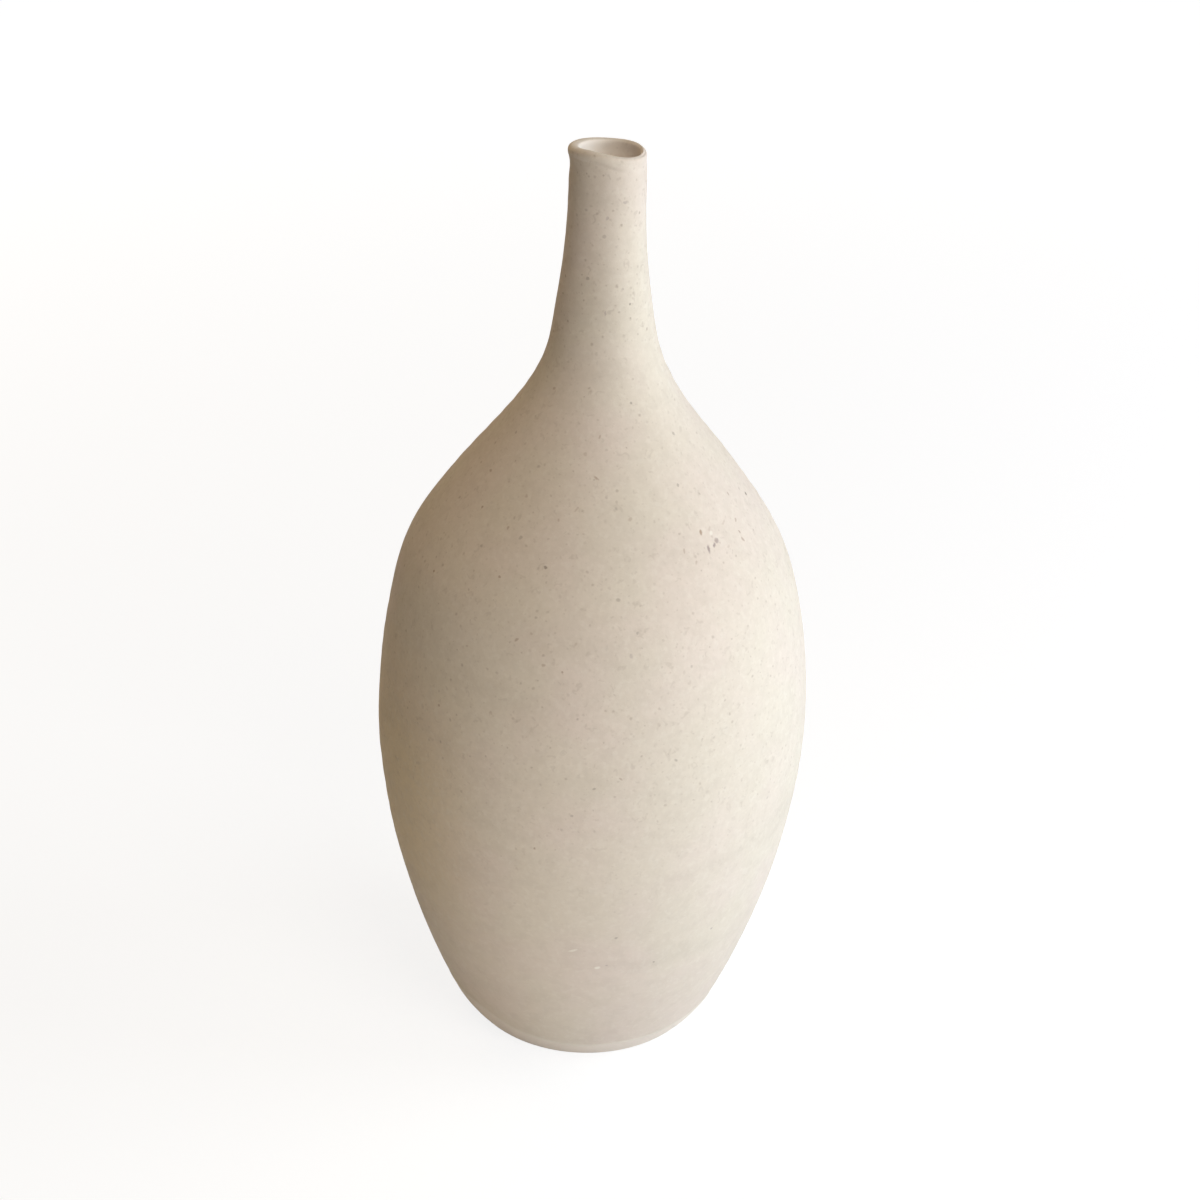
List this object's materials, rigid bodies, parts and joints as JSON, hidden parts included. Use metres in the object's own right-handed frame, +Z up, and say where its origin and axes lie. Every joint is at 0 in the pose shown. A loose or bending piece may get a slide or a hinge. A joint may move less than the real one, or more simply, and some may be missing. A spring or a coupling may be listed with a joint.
{
  "type": "bottle vase",
  "caption": "Bottle vase in unglazed bisque clay with an egg-shaped body, a long narrow neck and a small beaded lip, built in luted sections.",
  "frame": {"origin": "centre of the foot, on the surface that the vase stands on", "axes": "+Z up along the vase's axis, +X to the right of a viewer who faces the vase, the mouth dips towards +X, and the viewer stands at -Y"},
  "size_m": [0.1392, 0.1392, 0.3],
  "materials": {
    "bisque": "matte"
  },
  "bodies": {
    "root": {"base_slab": "bisque", "lower_body": "bisque", "upper_body": "bisque", "shoulder": "bisque", "neck": "bisque", "lip_ring": "bisque"}
  },
  "joints": []
}
